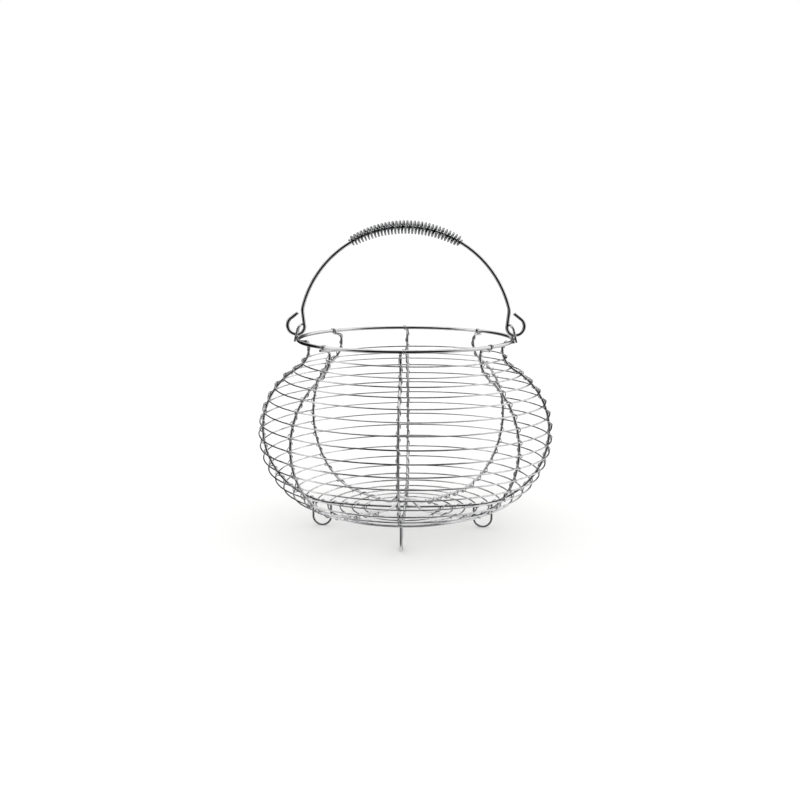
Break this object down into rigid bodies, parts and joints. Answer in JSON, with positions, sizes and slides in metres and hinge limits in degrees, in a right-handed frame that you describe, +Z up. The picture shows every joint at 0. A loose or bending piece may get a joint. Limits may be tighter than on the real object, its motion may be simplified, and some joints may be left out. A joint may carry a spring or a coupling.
{
  "type": "egg basket",
  "caption": "Round-bellied wire egg basket: ribs that end under a round rim, a thin wire wound round them and bound at each crossing, loop feet, and a swinging bail handle with a spring grip.",
  "frame": {"origin": "on the basket's upright axis, at the surface that its feet stand on", "axes": "+Z up; the front is at -Y; the line that the bail swings on runs along X"},
  "size_m": [0.246, 0.2461, 0.2562],
  "materials": {
    "rim_chrome": "bright chrome plate on thick steel wire",
    "rib_chrome": "bright chrome plate on steel wire",
    "weft_chrome": "bright chrome plate on thin steel wire",
    "binding_chrome": "bright chrome plate on fine steel wire",
    "foot_chrome": "bright chrome plate on steel wire",
    "ear_chrome": "bright chrome plate on steel wire",
    "bail_chrome": "bright chrome plate on thick steel wire",
    "grip_chrome": "bright chrome plate on coiled spring wire"
  },
  "bodies": {
    "basket": {"rim_ring": "rim_chrome", "rib_left_right": "rib_chrome", "rib_front_rear": "rib_chrome", "rib_diagonal_a": "rib_chrome", "rib_diagonal_b": "rib_chrome", "weft_spiral": "weft_chrome", "binding_right": "binding_chrome", "binding_rear_right": "binding_chrome", "binding_rear": "binding_chrome", "binding_rear_left": "binding_chrome", "binding_left": "binding_chrome", "binding_front_left": "binding_chrome", "binding_front": "binding_chrome", "binding_front_right": "binding_chrome", "foot_left": "foot_chrome", "foot_front": "foot_chrome", "foot_right": "foot_chrome", "foot_rear": "foot_chrome", "ear_left": "ear_chrome", "ear_right": "ear_chrome"},
    "handle": {"bail_wire": "bail_chrome", "grip_spring": "grip_chrome"}
  },
  "joints": [
    {"name": "bail_swing", "type": "hinge", "parent": "basket", "child": "handle", "pos_m": [0, 0, 0.1628], "axis": [1, 0, 0], "range_deg": [-86, 86]}
  ]
}
